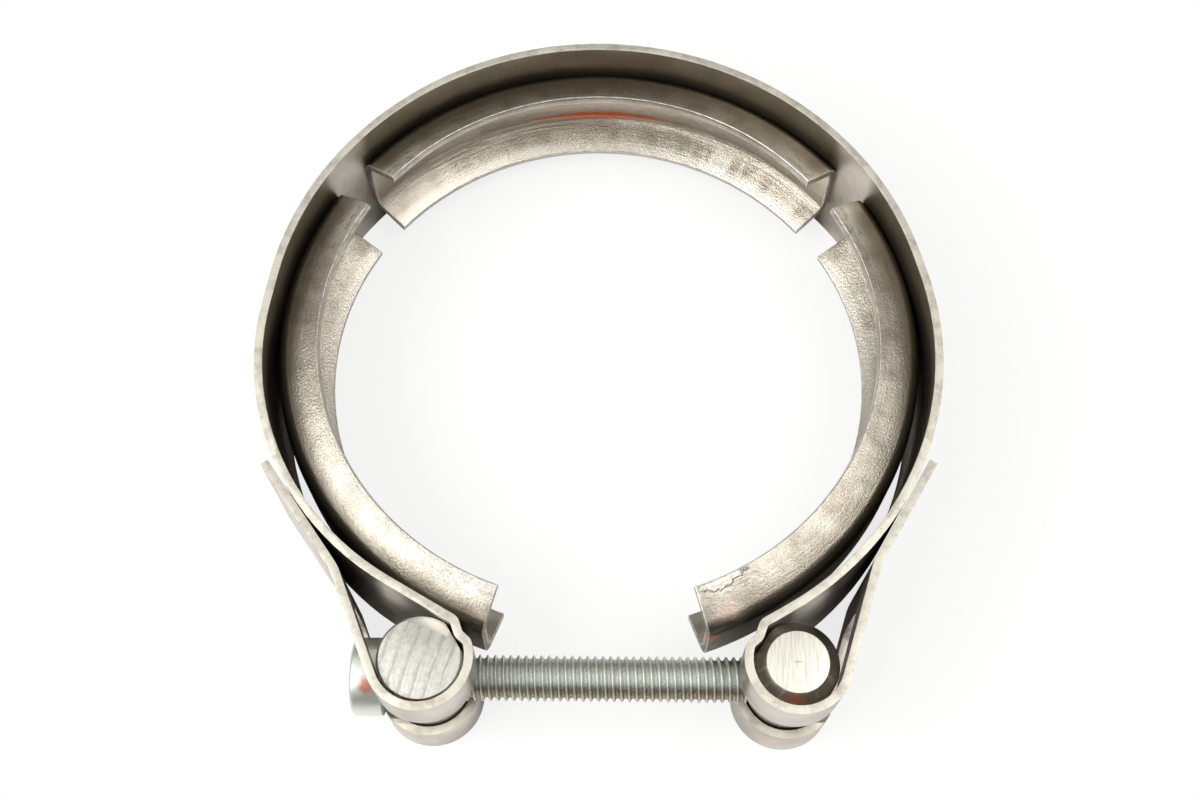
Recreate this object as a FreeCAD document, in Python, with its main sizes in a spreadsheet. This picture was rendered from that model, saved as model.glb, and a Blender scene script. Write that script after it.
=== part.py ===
import FreeCAD, Part
import math
import os
import Sketcher

# V band clamp: a spring-steel strap carries three V-section segments, and a bolt
# through a plain and a threaded trunnion draws the two looped ends together.
#
# Frame: the origin is the centre of the ring, on its axis and halfway up the strap.
# +Z is the ring's axis, and the bolt runs along X on the -Y side.

SIZES = [
    ("strap_width", 22.0, "width of the strap, along the ring's axis"),
    ("strap_thickness", 1.1, "spring steel strip"),
    ("ring_radius", 44.8, "inner face of the strap, where the segments are welded"),
    ("segment_angle", 102.0, "arc covered by each V segment, degrees"),
    ("segment_gap", 8.0, "open arc between two V segments, degrees"),
    ("segment_thickness", 1.2, "sheet of the V segments"),
    ("web_half_height", 3.7, "half of the flat web that lies on the strap"),
    ("web_bend_radius", 2.4, "outside radius of the bends beside the web"),
    ("leg_angle", 20.0, "slope of each leg from the plane of the ring, degrees"),
    ("bore_radius", 38.6, "inner edge of the legs, the clamp's clear bore"),
    ("tip_land", 0.5, "cylindrical land trimmed on the edge of each leg"),
    ("bolt_offset", 46.95, "distance of the bolt from the ring's axis"),
    ("plain_side_reach", 21.85, "plain trunnion's distance from the centre plane"),
    ("threaded_side_reach", 25.15, "threaded trunnion's distance from the centre plane"),
    ("loop_bore_radius", 5.65, "inside of the loops rolled at the strap's ends"),
    ("trunnion_clearance", 0.25, "radial play of a trunnion in its loop"),
    ("trunnion_flat_reach", 4.9, "flat that seats on the jog, from the trunnion's axis"),
    ("trunnion_length", 20.0, "length of both trunnions"),
    ("plain_edge_break", 0.3, "chamfer on the ends of the plain trunnion"),
    ("plain_land_reach", 3.8, "step on the plain trunnion's end, from its axis"),
    ("plain_land_angle", 68.0, "direction of the step from the bolt's line, degrees"),
    ("plain_land_depth", 0.5, "depth of the step on the plain trunnion's end"),
    ("threaded_end_chamfer", 1.5, "turned chamfer on the threaded trunnion's ends"),
    ("bolt_diameter", 6.0, "M6 shank"),
    ("bolt_length", 55.0, "under the head"),
    ("bolt_tip_chamfer", 0.8, "lead-in chamfer of the bolt"),
    ("bolt_play", 0.4, "radial play of the shank in the plain trunnion"),
    ("thread_play", 0.03, "radial play of the plain shank in the threaded bore"),
    ("head_seat_play", 0.05, "gap between the head and the plain trunnion"),
    ("head_diameter", 10.0, "low cylindrical head"),
    ("head_height", 4.0, "low cylindrical head"),
    ("head_edge_radius", 0.6, "rounded rim of the head"),
    ("socket_flats", 4.0, "hexagon socket across flats"),
    ("socket_depth", 2.2, "hexagon socket depth"),
    ("slot_play", 0.7, "play of the shank in the strap's slot, each side"),
    ("window_play", 0.5, "play of the head in the strap's window, each side"),
    ("slot_end_rise", 4.2, "slot's end above the bolt's axis, towards the ring"),
    ("window_rise", 7.9, "window's end above the bolt's axis, towards the ring"),
    ("window_drop", 2.6, "window's full width below the bolt's axis"),
    ("window_taper", 2.0, "length over which the window narrows to the slot"),
    ("slot_corner_radius", 1.5, "corners of the slot and the window"),
    ("jog_play", 0.15, "gap between the jog's crest and the trunnion's flat"),
    ("jog_crest_angle", 31.0, "crest of the jog, above the bolt's line, degrees"),
    ("jog_step_length", 1.9, "steep step of the jog"),
    ("jog_step_angle", 70.0, "slope of the steep step, degrees"),
    ("jog_run_out", 0.4, "straight run from the jog into the loop"),
    ("loop_entry_angle", 14.0, "where the loop starts, above the bolt's line, degrees"),
    ("jog_bend_radius", 1.0, "middle radius of the jog's bends"),
    ("plain_leave_angle", 8.0, "where the strap leaves the ring, plain side, degrees"),
    ("threaded_leave_angle", 14.0, "where it leaves the ring, threaded side, degrees"),
    ("approach_angle", 30.0, "slope of the run to the loop, both sides, degrees"),
    ("plain_approach_length", 10.0, "straight run before the jog, plain side"),
    ("threaded_approach_length", 3.5, "straight run before the jog, threaded side"),
    ("plain_tail_angle", 67.5, "slope of the tail leaving the loop, plain side"),
    ("threaded_tail_angle", 72.3, "slope of the tail, threaded side, degrees"),
    ("plain_tail_rest", 35.8, "where the tail lies on the strap, plain side, degrees"),
    ("threaded_tail_rest", 30.7, "where the tail lies, threaded side, degrees"),
    ("tail_gap", 0.1, "gap between the tail's end and the strap below it"),
    ("tail_bend_radius", 6.0, "middle radius of the bend in the tail"),
    ("plain_tail_overlap", 6.8, "tail beyond its resting point, plain side"),
    ("threaded_tail_overlap", 5.9, "tail beyond its resting point, threaded side"),
]

document = FreeCAD.newDocument("v_band_clamp")
sheet = document.addObject("Spreadsheet::Sheet", "sizes")
for row, (alias, number, note) in enumerate(SIZES, start=1):
    sheet.set("A%d" % row, alias)
    sheet.set("B%d" % row, str(number))
    sheet.setAlias("B%d" % row, alias)
    sheet.set("C%d" % row, note)
document.recompute()


def size(alias):
    """Value of one named cell."""
    return float(sheet.get(alias))


def vector(point, height=0.0):
    return FreeCAD.Vector(point[0], point[1], height)


def heading(degrees):
    """Unit vector in the plane at an angle from the first axis."""
    return (math.cos(math.radians(degrees)), math.sin(math.radians(degrees)))


def step(point, degrees, distance):
    """Point reached from another by going a distance at an angle."""
    direction = heading(degrees)
    return (point[0] + distance * direction[0], point[1] + distance * direction[1])


def distance_between(first, second):
    return math.hypot(second[0] - first[0], second[1] - first[1])


# ---------------------------------------------------------------- strap's path
# The strap's middle line is a chain of pieces in the XY plane. A line is
# ("line", start, end). An arc is ("arc", centre, radius, first angle, last angle)
# in degrees, and runs clockwise where the last angle is the smaller one.

def piece_offset(piece, distance):
    """The piece moved sideways, to the left of its direction."""
    if piece[0] == "line":
        run = math.degrees(math.atan2(piece[2][1] - piece[1][1], piece[2][0] - piece[1][0]))
        return ("line", step(piece[1], run + 90, distance), step(piece[2], run + 90, distance))
    kind, centre, radius, first, last = piece
    inward = distance if last > first else -distance
    return (kind, centre, radius - inward, first, last)


def piece_mirrored(piece):
    """The piece mirrored in the YZ plane."""
    if piece[0] == "line":
        return ("line", (-piece[1][0], piece[1][1]), (-piece[2][0], piece[2][1]))
    kind, centre, radius, first, last = piece
    return (kind, (-centre[0], centre[1]), radius, 180.0 - first, 180.0 - last)


def piece_reversed(piece):
    if piece[0] == "line":
        return ("line", piece[2], piece[1])
    kind, centre, radius, first, last = piece
    return (kind, centre, radius, last, first)


def piece_ends(piece):
    if piece[0] == "line":
        return piece[1], piece[2]
    kind, centre, radius, first, last = piece
    return step(centre, first, radius), step(centre, last, radius)


def rounded_run(corners, radii):
    """Straight runs through the corners, with a bend of its own radius at each inner one."""
    pieces = []
    start = corners[0]
    for before, corner, after, radius in zip(corners, corners[1:], corners[2:], radii):
        run_in = math.atan2(corner[1] - before[1], corner[0] - before[0])
        run_out = math.atan2(after[1] - corner[1], after[0] - corner[0])
        turn = (run_out - run_in + math.pi) % (2 * math.pi) - math.pi
        setback = radius * math.tan(abs(turn) / 2)
        bend_start = step(corner, math.degrees(run_in) + 180, setback)
        side = 90.0 if turn > 0 else -90.0
        centre = step(bend_start, math.degrees(run_in) + side, radius)
        first = math.degrees(run_in) - side
        pieces.append(("line", start, bend_start))
        pieces.append(("arc", centre, radius, first, first + math.degrees(turn)))
        start = step(centre, first + math.degrees(turn), radius)
    pieces.append(("line", start, corners[-1]))
    return pieces


def meeting_point(first, first_angle, second, second_angle):
    """Where two lines meet, each given by a point and an angle."""
    a = heading(first_angle)
    b = heading(second_angle)
    across = a[0] * b[1] - a[1] * b[0]
    gap = (second[0] - first[0], second[1] - first[1])
    along = (gap[0] * b[1] - gap[1] * b[0]) / across
    return (first[0] + along * a[0], first[1] + along * a[1])


def strap_side(side):
    """Middle line from the ring to the tail's tip on the +X side.

    The plain side is made with this too and mirrored afterwards.
    """
    half = size("strap_thickness") / 2
    ring = size("ring_radius") + half
    loop = size("loop_bore_radius") + half
    loop_centre = (size(side + "_side_reach"), -size("bolt_offset"))

    # The jog beside the trunnion: crest, steep step and run-out into the loop.
    crest_radius = size("trunnion_flat_reach") + size("jog_play") + half
    crest = step(loop_centre, 180 - size("jog_crest_angle"), crest_radius)
    jog_start = step(crest, size("jog_step_angle"), size("jog_step_length"))
    entry_angle = 180 - size("loop_entry_angle")
    loop_entry = step(loop_centre, entry_angle, loop)
    run_out = step(loop_entry, entry_angle - 90, size("jog_run_out"))

    # Between the ring and the jog: a straight, a tighter bend and a straight run. The
    # first straight and the bend's radius follow from where the run has to end.
    leave_angle = size(side + "_leave_angle")
    first_run = leave_angle - 90.0
    last_run = -180.0 + size("approach_angle")
    ring_end = step((0.0, 0.0), leave_angle, ring)
    bend_end = step(jog_start, last_run + 180, size(side + "_approach_length"))
    gap = (bend_end[0] - ring_end[0], bend_end[1] - ring_end[1])
    along = heading(first_run)
    around_first = heading(first_run - 90)
    around_last = heading(last_run - 90)
    around = (around_first[0] - around_last[0], around_first[1] - around_last[1])
    scale = along[0] * around[1] - along[1] * around[0]
    straight = (gap[0] * around[1] - gap[1] * around[0]) / scale
    bend_radius = (along[0] * gap[1] - along[1] * gap[0]) / scale
    bend_start = step(ring_end, first_run, straight)
    bend_centre = step(bend_start, first_run - 90, bend_radius)

    # The tail: out of the loop, then a bend that lays it along the strap.
    tail_angle = size(side + "_tail_angle")
    loop_exit = step(loop_centre, tail_angle - 90, loop)
    rest_angle = -size(side + "_tail_rest")
    rest_radius = bend_radius + size("strap_thickness") + size("tail_gap")
    rest = step(bend_centre, rest_angle, rest_radius)
    tail_corner = meeting_point(loop_exit, tail_angle, rest, rest_angle + 90)
    tail_tip = step(rest, rest_angle + 90, size(side + "_tail_overlap"))

    pieces = [
        ("line", ring_end, bend_start),
        ("arc", bend_centre, bend_radius, first_run + 90, last_run + 90),
    ]
    jog_bend = size("jog_bend_radius")
    pieces += rounded_run([bend_end, jog_start, crest, run_out, loop_entry], [jog_bend] * 3)
    pieces.append(("arc", loop_centre, loop, entry_angle, tail_angle - 90 + 360))
    pieces += rounded_run([loop_exit, tail_corner, tail_tip], [size("tail_bend_radius")])
    return leave_angle, pieces


def strap_path():
    """Middle line of the whole strap, from the plain side's tip to the threaded side's."""
    plain_leave, plain = strap_side("plain")
    threaded_leave, threaded = strap_side("threaded")
    middle = size("ring_radius") + size("strap_thickness") / 2
    ring = ("arc", (0.0, 0.0), middle, 180.0 - plain_leave, threaded_leave)
    return [piece_reversed(piece_mirrored(piece)) for piece in reversed(plain)] + [ring] + threaded


# -------------------------------------------------------------- sketch helpers

def origin_plane(body, role):
    """One of the body's own origin planes."""
    for feature in body.Origin.OriginFeatures:
        if feature.Role == role:
            return feature
    raise ValueError("no plane " + role)


def new_body(name):
    body = document.addObject("PartDesign::Body", name)
    body.Label = name
    return body


def new_sketch(body, name, role, offset=0.0):
    """Sketch on one of the body's origin planes, moved along the plane's normal."""
    sketch = body.newObject("Sketcher::SketchObject", name)
    sketch.AttachmentSupport = [(origin_plane(body, role), "")]
    sketch.MapMode = "FlatFace"
    sketch.AttachmentOffset = FreeCAD.Placement(FreeCAD.Vector(0, 0, offset), FreeCAD.Rotation())
    return sketch


def add_piece(sketch, piece):
    if piece[0] == "line":
        sketch.addGeometry(Part.LineSegment(vector(piece[1]), vector(piece[2])))
        return
    kind, centre, radius, first, last = piece
    circle = Part.Circle(vector(centre), FreeCAD.Vector(0, 0, 1), radius)
    low, high = sorted((math.radians(first), math.radians(last)))
    sketch.addGeometry(Part.ArcOfCircle(circle, low, high))


def add_polygon(sketch, corners):
    for first, second in zip(corners, corners[1:] + corners[:1]):
        add_piece(sketch, ("line", first, second))


def add_circle(sketch, centre, diameter, diameter_expression):
    """Circle with its centre held and its diameter bound to a cell."""
    circle = Part.Circle(vector(centre), FreeCAD.Vector(0, 0, 1), diameter / 2)
    index = sketch.addGeometry(circle)
    sketch.addConstraint(Sketcher.Constraint("DistanceX", index, 3, centre[0]))
    sketch.addConstraint(Sketcher.Constraint("DistanceY", index, 3, centre[1]))
    bound = sketch.addConstraint(Sketcher.Constraint("Diameter", index, diameter))
    sketch.setExpression("Constraints[%d]" % bound, diameter_expression)


def pocket(body, sketch, length_expression):
    """Cut a sketch into the body, on the side of its plane where the body is."""
    before = body.Shape.Volume
    cut = body.newObject("PartDesign::Pocket", sketch.Name + "_cut")
    cut.Profile = sketch
    cut.setExpression("Length", length_expression)
    for turned in (False, True):
        cut.Reversed = turned
        document.recompute()
        if cut.Shape.Volume < before - 1e-3:
            body.Tip = cut
            return cut
    raise RuntimeError(sketch.Name + " cuts nothing")


def edges_at(shape, height, radius, axis="Z"):
    """Names of the circular edges of a given radius at a given place along an axis."""
    names = []
    for number, edge in enumerate(shape.Edges, start=1):
        if not isinstance(edge.Curve, Part.Circle):
            continue
        place = getattr(edge.Curve.Center, axis.lower())
        if abs(place - height) < 1e-4 and abs(edge.Curve.Radius - radius) < 1e-4:
            names.append("Edge%d" % number)
    return names


# ----------------------------------------------------------------------- strap

def rounded_outline(corners, radius, rounded):
    """Closed outline whose corners named in rounded have the given radius."""
    pieces = []
    count = len(corners)
    ends = []
    for number, corner in enumerate(corners):
        if number not in rounded:
            ends.append((corner, corner))
            continue
        before = corners[number - 1]
        after = corners[(number + 1) % count]
        run = rounded_run([before, corner, after], [radius])
        pieces.append(run[1])
        ends.append(piece_ends(run[1]))
    for number in range(count):
        start = ends[number][1]
        end = ends[(number + 1) % count][0]
        if distance_between(start, end) > 1e-6:
            pieces.append(("line", start, end))
    return pieces


def make_strap():
    """One strip: the ring, a jog and a loop at each end, and the tails laid back on it."""
    body = new_body("band_strap")
    outline = new_sketch(body, "strap_outline", "XY_Plane")
    half = size("strap_thickness") / 2
    path = strap_path()
    for side in (half, -half):
        for piece in path:
            add_piece(outline, piece_offset(piece, side))
    for piece, end in ((path[0], 0), (path[-1], 1)):
        left = piece_ends(piece_offset(piece, half))[end]
        right = piece_ends(piece_offset(piece, -half))[end]
        add_piece(outline, ("line", left, right))
    pad = body.newObject("PartDesign::Pad", "strap_strip")
    pad.Profile = outline
    pad.setExpression("Length", "sizes.strap_width")
    pad.Midplane = True
    body.Tip = pad
    document.recompute()

    bolt_line = -size("bolt_offset")
    loop_outside = size("loop_bore_radius") + size("strap_thickness")
    slot_half = size("bolt_diameter") / 2 + size("slot_play")
    window_half = size("head_diameter") / 2 + size("window_play")
    below = bolt_line - loop_outside - size("slot_play")
    slot_end = bolt_line + size("slot_end_rise")
    window_end = bolt_line + size("window_rise")
    window_full = bolt_line - size("window_drop")
    window_low = window_full - size("window_taper")
    window_start = 0.6 * size("loop_bore_radius")
    tail_reach = "(sizes.loop_bore_radius + 4 * sizes.strap_thickness)"
    for side, sense in (("plain", -1.0), ("threaded", 1.0)):
        reach = size(side + "_side_reach")
        # Slot for the shank, through the jog's side of the loop and round its bottom.
        slot = new_sketch(body, side + "_slot", "YZ_Plane", sense * (reach - loop_outside))
        corners = [(below, -slot_half), (slot_end, -slot_half),
                   (slot_end, slot_half), (below, slot_half)]
        for piece in rounded_outline(corners, size("slot_corner_radius"), (1, 2)):
            add_piece(slot, piece)
        pocket_through(body, slot, sense, "2 * (sizes.loop_bore_radius + sizes.strap_thickness) + 2")
        # Window for the head, in the tail's side only.
        window = new_sketch(body, side + "_window", "YZ_Plane", sense * (reach + window_start))
        corners = [(window_low, -slot_half), (window_full, -window_half),
                   (window_end, -window_half), (window_end, window_half),
                   (window_full, window_half), (window_low, slot_half)]
        for piece in rounded_outline(corners, size("slot_corner_radius"), (2, 3)):
            add_piece(window, piece)
        pocket_through(body, window, sense, tail_reach)
    return body


def pocket_through(body, sketch, sense, length_expression):
    """Cut away from the ring's centre plane, along +X or -X."""
    before = body.Shape.Volume
    cut = body.newObject("PartDesign::Pocket", sketch.Name + "_cut")
    cut.Profile = sketch
    cut.Reversed = sense > 0
    cut.setExpression("Length", length_expression)
    body.Tip = cut
    document.recompute()
    if cut.Shape.Volume > before - 1e-3:
        raise RuntimeError(sketch.Name + " cuts nothing")


# -------------------------------------------------------------------- segments

def segment_profile():
    """Section of a V segment in (radius, height): a web, two bends and two legs."""
    thickness = size("segment_thickness")
    outer_bend = size("web_bend_radius")
    inner_bend = outer_bend - thickness
    web_half = size("web_half_height")
    slope = size("leg_angle")
    bore = size("bore_radius")
    land = size("tip_land")
    bend_centre = (size("ring_radius") - outer_bend, web_half)
    leg_outside = step(bend_centre, 90 - slope, outer_bend)
    leg_inside = step(bend_centre, 90 - slope, inner_bend)
    leg_length = (leg_inside[0] - bore) / math.cos(math.radians(slope))
    tip_inside = step(leg_inside, 180 - slope, leg_length)
    tip_land = (tip_inside[0], tip_inside[1] + land)
    trimmed = thickness - land * math.cos(math.radians(slope))
    tip_outside = step(tip_land, 90 - slope, trimmed)
    upper = [
        ("arc", bend_centre, outer_bend, 0.0, 90 - slope),
        ("line", leg_outside, tip_outside),
        ("line", tip_outside, tip_land),
        ("line", tip_land, tip_inside),
        ("line", tip_inside, leg_inside),
        ("arc", bend_centre, inner_bend, 90 - slope, 0.0),
    ]
    pieces = list(upper)
    for piece in upper:
        if piece[0] == "line":
            flipped = [(end[0], -end[1]) for end in piece[1:]]
            pieces.append(("line", flipped[0], flipped[1]))
        else:
            centre = (piece[1][0], -piece[1][1])
            pieces.append(("arc", centre, piece[2], -piece[3], -piece[4]))
    for radius in (size("ring_radius"), size("ring_radius") - thickness):
        pieces.append(("line", (radius, -web_half), (radius, web_half)))
    return pieces


def make_segment(name, middle_angle):
    """One V segment: the section revolved about the ring's axis."""
    body = new_body(name)
    section = new_sketch(body, name + "_section", "XZ_Plane")
    for piece in segment_profile():
        add_piece(section, piece)
    revolved = body.newObject("PartDesign::Revolution", name + "_channel")
    revolved.Profile = section
    revolved.ReferenceAxis = (section, ["V_Axis"])
    revolved.Midplane = True
    revolved.setExpression("Angle", "sizes.segment_angle")
    body.Tip = revolved
    body.Placement = FreeCAD.Placement(
        FreeCAD.Vector(0, 0, 0), FreeCAD.Rotation(FreeCAD.Vector(0, 0, 1), middle_angle))
    document.recompute()
    return body


# ------------------------------------------------------------------- trunnions

def trunnion_blank(name, side):
    """Round bar standing in its loop, centred on the strap's width."""
    body = new_body(name)
    radius = size("loop_bore_radius") - size("trunnion_clearance")
    outline = new_sketch(body, name + "_outline", "XY_Plane")
    add_circle(outline, (0.0, 0.0), 2 * radius,
               "2 * (sizes.loop_bore_radius - sizes.trunnion_clearance)")
    bar = body.newObject("PartDesign::Pad", name + "_bar")
    bar.Profile = outline
    bar.setExpression("Length", "sizes.trunnion_length")
    body.Tip = bar
    low = -size("trunnion_length") / 2
    reach = size(side + "_side_reach") * (1.0 if side == "threaded" else -1.0)
    body.Placement = FreeCAD.Placement(
        FreeCAD.Vector(reach, -size("bolt_offset"), low), FreeCAD.Rotation())
    document.recompute()
    return body, bar, radius


def chamfer_ends(body, bar, radius, chamfer_alias):
    edges = edges_at(bar.Shape, 0.0, radius) + edges_at(bar.Shape, size("trunnion_length"), radius)
    chamfer = body.newObject("PartDesign::Chamfer", body.Name + "_end_chamfers")
    chamfer.Base = (bar, edges)
    chamfer.setExpression("Size", "sizes." + chamfer_alias)
    body.Tip = chamfer
    document.recompute()


def cross_hole(body, radius, play_alias):
    """Hole for the bolt across the bar, halfway up."""
    hole = new_sketch(body, body.Name + "_hole", "YZ_Plane", -radius - 1.0)
    diameter = size("bolt_diameter") + 2 * size(play_alias)
    add_circle(hole, (0.0, size("trunnion_length") / 2), diameter,
               "sizes.bolt_diameter + 2 * sizes." + play_alias)
    hole.setExpression("Constraints[1]", "sizes.trunnion_length / 2")
    document.recompute()
    pocket(body, hole, "2 * (sizes.loop_bore_radius - sizes.trunnion_clearance) + 2")


def side_cut(body, name, reach, direction, radius, length_expression):
    """Cut off what lies beyond a straight line across the bar's top end."""
    cut = new_sketch(body, name, "XY_Plane", size("trunnion_length"))
    far = radius + 1.0
    corners = []
    for corner in ((reach, -far), (far, -far), (far, far), (reach, far)):
        along = math.degrees(math.atan2(corner[1], corner[0]))
        corners.append(step((0.0, 0.0), along + direction, math.hypot(*corner)))
    add_polygon(cut, corners)
    document.recompute()
    pocket(body, cut, length_expression)


def make_plain_trunnion():
    """Trunnion with a clearance hole, which the bolt's head bears on."""
    body, bar, radius = trunnion_blank("plain_trunnion", "plain")
    chamfer_ends(body, bar, radius, "plain_edge_break")
    cross_hole(body, radius, "bolt_play")
    side_cut(body, "plain_trunnion_flat", size("trunnion_flat_reach"),
             size("jog_crest_angle"), radius, "sizes.trunnion_length")
    side_cut(body, "plain_trunnion_step", size("plain_land_reach"),
             size("plain_land_angle"), radius, "sizes.plain_land_depth")
    return body


def make_threaded_trunnion():
    """Trunnion that is the bolt's nut."""
    body, bar, radius = trunnion_blank("threaded_trunnion", "threaded")
    chamfer_ends(body, bar, radius, "threaded_end_chamfer")
    cross_hole(body, radius, "thread_play")
    side_cut(body, "threaded_trunnion_flat", size("trunnion_flat_reach"),
             180.0 - size("jog_crest_angle"), radius, "sizes.trunnion_length")
    return body


# ------------------------------------------------------------------------ bolt

def make_bolt():
    """Low-head screw along +X, its head seated on the plain trunnion."""
    body = new_body("clamp_bolt")
    head = new_sketch(body, "bolt_head_outline", "YZ_Plane", -size("head_height"))
    add_circle(head, (0.0, 0.0), size("head_diameter"), "sizes.head_diameter")
    head_pad = body.newObject("PartDesign::Pad", "bolt_head")
    head_pad.Profile = head
    head_pad.setExpression("Length", "sizes.head_height")
    body.Tip = head_pad
    document.recompute()

    rim = body.newObject("PartDesign::Fillet", "bolt_head_rim")
    rim.Base = (head_pad, edges_at(head_pad.Shape, -size("head_height"), size("head_diameter") / 2, "X"))
    rim.setExpression("Radius", "sizes.head_edge_radius")
    body.Tip = rim
    document.recompute()

    shank = new_sketch(body, "bolt_shank_outline", "YZ_Plane")
    add_circle(shank, (0.0, 0.0), size("bolt_diameter"), "sizes.bolt_diameter")
    shank_pad = body.newObject("PartDesign::Pad", "bolt_shank")
    shank_pad.Profile = shank
    shank_pad.setExpression("Length", "sizes.bolt_length")
    body.Tip = shank_pad
    document.recompute()

    tip = body.newObject("PartDesign::Chamfer", "bolt_tip")
    tip.Base = (shank_pad, edges_at(shank_pad.Shape, size("bolt_length"), size("bolt_diameter") / 2, "X"))
    tip.setExpression("Size", "sizes.bolt_tip_chamfer")
    body.Tip = tip
    document.recompute()

    socket = new_sketch(body, "bolt_socket", "YZ_Plane", -size("head_height"))
    corner_radius = size("socket_flats") / math.sqrt(3)
    add_polygon(socket, [step((0.0, 0.0), 60.0 * number, corner_radius) for number in range(6)])
    document.recompute()
    pocket(body, socket, "sizes.socket_depth")

    trunnion_radius = size("loop_bore_radius") - size("trunnion_clearance")
    seat = -size("plain_side_reach") - trunnion_radius - size("head_seat_play")
    body.Placement = FreeCAD.Placement(
        FreeCAD.Vector(seat, -size("bolt_offset"), 0), FreeCAD.Rotation())
    document.recompute()
    return body


# ---------------------------------------------------------------------- export

def main():
    pitch = size("segment_angle") + size("segment_gap")
    bodies = [
        make_strap(),
        make_segment("v_segment_top", 90.0),
        make_segment("v_segment_left", 90.0 + pitch),
        make_segment("v_segment_right", 90.0 - pitch),
        make_plain_trunnion(),
        make_threaded_trunnion(),
        make_bolt(),
    ]
    document.recompute()
    for item in document.Objects:
        if "Invalid" in item.State or "Error" in item.State:
            raise RuntimeError(item.Name + " failed")
    for body in bodies:
        if body.Shape.isNull() or not body.Shape.isValid():
            raise RuntimeError(body.Label + " has no valid shape")
    os.makedirs("parts", exist_ok=True)
    for body in bodies:
        body.Shape.exportStep("parts/%s.step" % body.Label)
        print("%-18s %8.1f mm3  %d solid" % (body.Label, body.Shape.Volume, len(body.Shape.Solids)))


main()
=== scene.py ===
"""Looks of the V band clamp: its steel finishes, its threaded screw, and the stage it lies on.

Sizes are in metres and the frame is the solids' own: the ring's axis is Z, its centre is the
origin, and the screw runs along X on the -Y side.
"""

import logging
import math
from dataclasses import dataclass, field
from enum import Enum
from typing import Any, Callable, Iterable, Optional, Sequence, Union

import bpy
from mathutils import Matrix, Vector

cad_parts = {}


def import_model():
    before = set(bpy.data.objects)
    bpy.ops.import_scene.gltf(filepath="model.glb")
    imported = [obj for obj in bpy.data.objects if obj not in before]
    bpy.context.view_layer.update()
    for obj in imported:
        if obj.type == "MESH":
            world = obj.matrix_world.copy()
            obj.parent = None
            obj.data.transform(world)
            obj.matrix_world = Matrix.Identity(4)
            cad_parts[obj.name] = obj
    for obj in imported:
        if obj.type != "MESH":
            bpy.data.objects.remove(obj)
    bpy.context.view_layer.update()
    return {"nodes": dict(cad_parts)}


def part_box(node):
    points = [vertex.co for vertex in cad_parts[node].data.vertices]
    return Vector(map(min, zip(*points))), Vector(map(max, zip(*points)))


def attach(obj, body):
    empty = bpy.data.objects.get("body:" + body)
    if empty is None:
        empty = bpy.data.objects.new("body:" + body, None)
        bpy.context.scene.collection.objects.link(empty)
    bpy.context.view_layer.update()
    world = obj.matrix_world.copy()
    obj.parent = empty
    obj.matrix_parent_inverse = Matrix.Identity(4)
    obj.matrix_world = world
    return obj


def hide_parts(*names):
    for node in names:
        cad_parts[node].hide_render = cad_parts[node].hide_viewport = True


log = logging.getLogger("v_band_clamp")

Colour = tuple[float, float, float]
Point = tuple[float, float, float]
Solids = dict[str, bpy.types.Object]
MM = 0.001


class Slot(Enum):
    """Material slots of the record."""

    STRAP = "strap_steel"
    SEGMENT = "segment_steel"
    PLAIN_TRUNNION = "plain_trunnion_steel"
    THREADED_TRUNNION = "threaded_trunnion_steel"
    BOLT = "bolt_zinc"


# ------------------------------------------------------------------ shader maths


class Socket:
    """An output socket that can be used in an expression."""

    def __init__(self, graph: "Graph", link: bpy.types.NodeSocket) -> None:
        """Keep the graph and the socket.

        Args:
            graph: the graph that the socket belongs to.
            link: the node's output socket.
        """
        self.graph = graph
        self.link = link

    def _math(self, operation: str, first: Any, second: Any = None) -> "Socket":
        """Add a Math node.

        Args:
            operation: the node's operation.
            first: a socket or a number.
            second: a socket or a number, where the operation takes two.

        Returns:
            The node's result.
        """
        inputs = {0: first} if second is None else {0: first, 1: second}
        return self.graph.node("ShaderNodeMath", {"operation": operation}, inputs)

    def __add__(self, other: Any) -> "Socket":
        """Sum."""
        return self._math("ADD", self, other)

    def __radd__(self, other: Any) -> "Socket":
        """Sum, reflected."""
        return self._math("ADD", other, self)

    def __sub__(self, other: Any) -> "Socket":
        """Difference."""
        return self._math("SUBTRACT", self, other)

    def __rsub__(self, other: Any) -> "Socket":
        """Difference, reflected."""
        return self._math("SUBTRACT", other, self)

    def __mul__(self, other: Any) -> "Socket":
        """Product."""
        return self._math("MULTIPLY", self, other)

    def __rmul__(self, other: Any) -> "Socket":
        """Product, reflected."""
        return self._math("MULTIPLY", other, self)

    def __pow__(self, other: Any) -> "Socket":
        """Power."""
        return self._math("POWER", self, other)

    def __abs__(self) -> "Socket":
        """Absolute value."""
        return self._math("ABSOLUTE", self)

    def sine(self) -> "Socket":
        """Sine of an angle in radians."""
        return self._math("SINE", self)

    def angle(self, ahead: Any) -> "Socket":
        """Angle of an offset, of which this is the part to the left.

        Args:
            ahead: the part ahead.

        Returns:
            The angle, in radians.
        """
        return self._math("ARCTAN2", self, ahead)

    def at_least(self, other: Any) -> "Socket":
        """The larger of two values.

        Args:
            other: the second value.

        Returns:
            The larger.
        """
        return self._math("MAXIMUM", self, other)

    def ramp(self, low: float, high: float, start: float = 0.0, end: float = 1.0) -> "Socket":
        """Smooth step between two values.

        Args:
            low: value at which the step starts.
            high: value at which it ends; smaller than low for a falling step.
            start: result before the step.
            end: result after it.

        Returns:
            The stepped value.
        """
        settings = {"interpolation_type": "SMOOTHSTEP", "clamp": True}
        if high < low:
            low, high, start, end = high, low, end, start
        inputs = {"Value": self, "From Min": low, "From Max": high, "To Min": start, "To Max": end}
        return self.graph.node("ShaderNodeMapRange", settings, inputs)


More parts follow.
